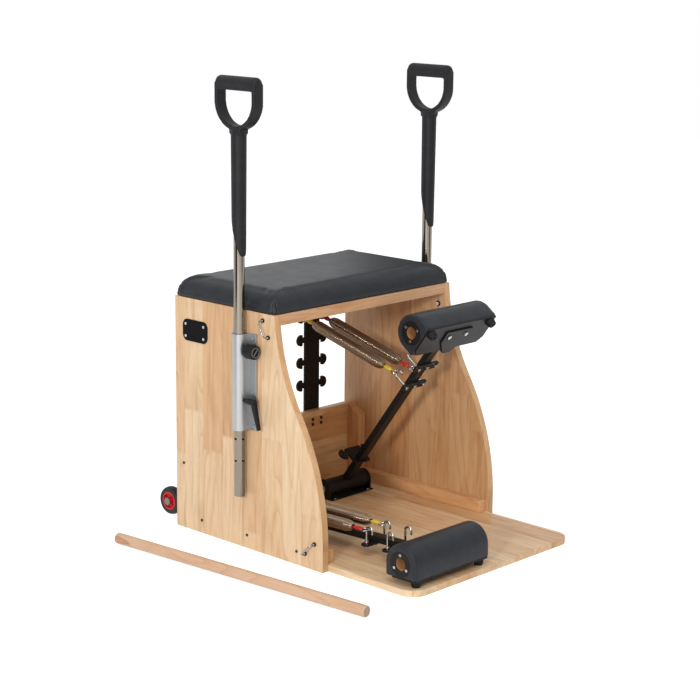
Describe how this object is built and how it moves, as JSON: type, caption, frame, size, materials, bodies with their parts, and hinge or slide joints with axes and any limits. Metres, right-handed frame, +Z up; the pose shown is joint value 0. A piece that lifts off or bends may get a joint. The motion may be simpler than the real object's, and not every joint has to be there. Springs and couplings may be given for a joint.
{
  "type": "pilates chair",
  "caption": "Wooden pilates chair with a padded seat, sprung padded pedals, height-adjustable D-grip handles, rear wheels and a loose dowel bar.",
  "frame": {"origin": "on the floor midway between the side panels, under their front edge", "axes": "+X to the right seen from the front, -Y to the front where the pedals are, +Z up"},
  "size_m": [0.8421, 0.8318, 1.095],
  "materials": {
    "wood": "clear satin lacquer on pale edge-glued hardwood",
    "batten_wood": "clear satin lacquer on orange-tan hardwood",
    "plywood": "raw plywood",
    "vinyl": "black grained vinyl",
    "plate": "dark grey, bare",
    "zinc": "bright zinc",
    "chrome_tube": "polished",
    "aluminium": "satin anodised",
    "black_steel": "black powder coat",
    "spring_steel": "nickel plated wire",
    "grip": "charcoal moulded plastic",
    "black_plastic": "black moulded plastic",
    "rubber": "matt black",
    "tyre": "grey-black",
    "red_plastic": "red moulded plastic",
    "clip_sleeve": "yellow and red colour-coded sleeves",
    "bush": "natural nylon"
  },
  "bodies": {
    "frame": {"side_panel_left": "wood", "side_panel_right": "wood", "base_board": "wood", "seat_board": "wood", "rear_board": "wood", "base_battens": "batten_wood", "corner_battens": "batten_wood", "seat_cushion": "vinyl", "cushion_board": "plywood", "name_plate": "plate", "pan_head_screws": "zinc", "panel_screws": "zinc", "strap_eyes": "zinc", "handle_brackets": "aluminium", "spring_posts": "black_steel", "post_bolts": "zinc", "pivot_brackets": "black_steel", "pivot_pins": "zinc", "pivot_bushes": "bush", "plunger_bodies": "zinc", "wheel_brackets": "black_steel", "wheel_bolts": "zinc"},
    "pedal_left": {"pedal_arm_left": "black_steel", "hook_plates_left": "black_steel", "spring_hooks_left": "zinc", "pedal_core_left": "wood", "pedal_pad_left": "vinyl", "pedal_end_rings_left": "black_steel", "pedal_plate_left": "black_steel", "pedal_feet_left": "rubber", "pedal_fasteners_left": "zinc", "spring_left_inner": "spring_steel", "spring_left_outer": "spring_steel", "spring_clips_left": "clip_sleeve"},
    "pedal_right": {"pedal_arm_right": "black_steel", "hook_plates_right": "black_steel", "spring_hooks_right": "zinc", "pedal_core_right": "wood", "pedal_pad_right": "vinyl", "pedal_end_rings_right": "black_steel", "pedal_plate_right": "black_steel", "pedal_feet_right": "rubber", "pedal_fasteners_right": "zinc"},
    "springs_right": {"spring_clips_right_rear": "clip_sleeve"},
    "spring_coils_right": {"spring_right_inner": "spring_steel", "spring_right_outer": "spring_steel"},
    "spring_ends_right": {"spring_clips_right_front": "clip_sleeve"},
    "dowel": {"dowel_bar": "wood"},
    "handle_left": {"handle_tube_left": "chrome_tube", "handle_grip_left": "grip"},
    "plunger_left": {"plunger_knob_left": "black_plastic"},
    "lever_left": {"clamp_lever_left": "black_plastic"},
    "wheel_left": {"wheel_tyre_left": "tyre", "wheel_hub_left": "red_plastic"},
    "handle_right": {"handle_tube_right": "chrome_tube", "handle_grip_right": "grip"},
    "plunger_right": {"plunger_knob_right": "black_plastic"},
    "lever_right": {"clamp_lever_right": "black_plastic"},
    "wheel_right": {"wheel_tyre_right": "tyre", "wheel_hub_right": "red_plastic"}
  },
  "joints": [
    {"name": "pedal_left_hinge", "type": "hinge", "parent": "frame", "child": "pedal_left", "pos_m": [-0.143, 0.36, 0.041], "axis": [-1, 0, 0], "range_deg": [0, 52]},
    {"name": "pedal_right_hinge", "type": "hinge", "parent": "frame", "child": "pedal_right", "pos_m": [0.143, 0.36, 0.041], "axis": [-1, 0, 0], "range_deg": [-52, 0], "stiffness_Nm_per_rad": 40, "springref_deg": 28.65},
    {"name": "springs_right_swing", "type": "hinge", "parent": "frame", "child": "springs_right", "pos_m": [0.143, 0.47667, 0.45649], "axis": [-1, 0, 0], "range_deg": [-22, 0.5]},
    {"name": "spring_coils_right_stretch", "type": "slide", "parent": "springs_right", "child": "spring_coils_right", "axis": [0, -0.963, -0.2694], "range_m": [-0.001, 0.2915], "deforming": ["spring_right_inner", "spring_right_outer"]},
    {"name": "spring_ends_right_swing", "type": "hinge", "parent": "pedal_right", "child": "spring_ends_right", "pos_m": [0.143, 0.15142, 0.36549], "axis": [-1, 0, 0], "range_deg": [-0.5, 31]},
    {"name": "dowel_lift", "type": "slide", "parent": "frame", "child": "dowel", "axis": [0, 0, 1], "range_m": [0, 0.3]},
    {"name": "handle_left_slide", "type": "slide", "parent": "frame", "child": "handle_left", "axis": [0, 0, 1], "range_m": [-0.104, 0.156]},
    {"name": "plunger_left_pull", "type": "slide", "parent": "frame", "child": "plunger_left", "axis": [0, -1, 0], "range_m": [0, 0.008], "stiffness_N_per_m": 400, "springref_m": -0.004},
    {"name": "lever_left_turn", "type": "hinge", "parent": "frame", "child": "lever_left", "pos_m": [-0.32, 0.234, 0.362], "axis": [0, 1, 0], "range_deg": [0, 100]},
    {"name": "wheel_left_spin", "type": "hinge", "parent": "frame", "child": "wheel_left", "pos_m": [-0.278, 0.538, 0.0477], "axis": [1, 0, 0], "continuous": true},
    {"name": "handle_right_slide", "type": "slide", "parent": "frame", "child": "handle_right", "axis": [0, 0, 1], "range_m": [-0.104, 0.156]},
    {"name": "plunger_right_pull", "type": "slide", "parent": "frame", "child": "plunger_right", "axis": [0, -1, 0], "range_m": [0, 0.008], "stiffness_N_per_m": 400, "springref_m": -0.004},
    {"name": "lever_right_turn", "type": "hinge", "parent": "frame", "child": "lever_right", "pos_m": [0.32, 0.234, 0.362], "axis": [0, -1, 0], "range_deg": [0, 100]},
    {"name": "wheel_right_spin", "type": "hinge", "parent": "frame", "child": "wheel_right", "pos_m": [0.278, 0.538, 0.0477], "axis": [1, 0, 0], "continuous": true}
  ],
  "couplings": [
    {"joint": "springs_right_swing", "follows": "pedal_right_hinge", "ratio": 0.41474},
    {"joint": "spring_coils_right_stretch", "follows": "pedal_right_hinge", "m_per_rad": -0.32058},
    {"joint": "spring_ends_right_swing", "follows": "pedal_right_hinge", "ratio": -0.58526}
  ]
}
